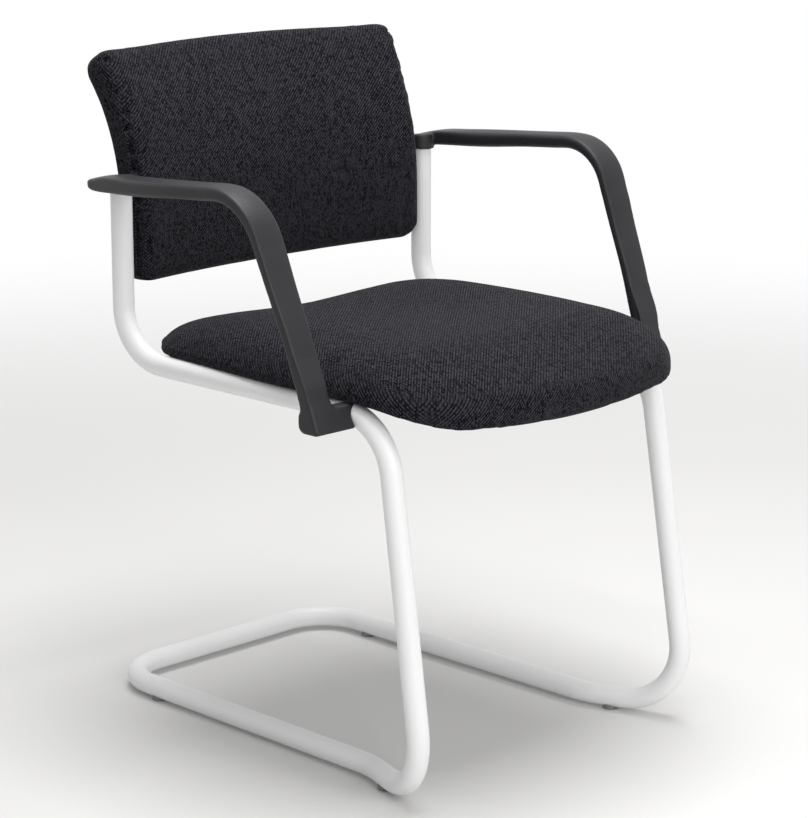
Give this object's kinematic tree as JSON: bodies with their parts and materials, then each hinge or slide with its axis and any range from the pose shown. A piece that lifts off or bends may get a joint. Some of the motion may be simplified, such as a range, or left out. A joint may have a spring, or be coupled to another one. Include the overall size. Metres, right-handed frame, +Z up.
{
  "type": "cantilever conference chair",
  "caption": "Cantilever conference chair: one bent steel tube carries an upholstered seat and a curved upholstered back, with moulded plastic arms from the uprights to the seat rails.",
  "frame": {"origin": "on the floor, in the middle of the chair's box", "axes": "+Z up, the front of the seat towards -Y, +X to the sitter's left"},
  "size_m": [0.602, 0.6143, 0.7893],
  "materials": {
    "frame_paint": "light silver-grey powder coat",
    "arm_plastic": "dark grey, fine moulded texture",
    "charcoal_weave": "charcoal melange weave",
    "foam": "cut upholstery foam",
    "plywood": "moulded beech plywood",
    "dust_sheet": "thin black non-woven sheet",
    "spacer_plastic": "black plastic bush",
    "zinc_steel": "zinc-plated steel",
    "insert_brass": "brass threaded insert",
    "glide_plastic": "black plastic"
  },
  "bodies": {
    "root": {"frame_tube": "frame_paint", "front_brace": "frame_paint", "rear_brace": "frame_paint", "back_plate_left": "frame_paint", "back_plate_right": "frame_paint", "arm_left": "arm_plastic", "arm_right": "arm_plastic", "arm_foot_screws": "zinc_steel", "arm_foot_inserts": "insert_brass", "seat_cover": "charcoal_weave", "seat_foam": "foam", "seat_shell": "plywood", "seat_dust_cover": "dust_sheet", "seat_spacers": "spacer_plastic", "seat_screws": "zinc_steel", "seat_t_nuts": "zinc_steel", "back_cover": "charcoal_weave", "back_foam": "foam", "back_rear_foam": "foam", "back_shell": "plywood", "back_screws": "zinc_steel", "back_t_nuts": "zinc_steel", "glide_front_left": "glide_plastic", "glide_front_right": "glide_plastic", "glide_rear_left": "glide_plastic", "glide_rear_right": "glide_plastic"}
  },
  "joints": []
}
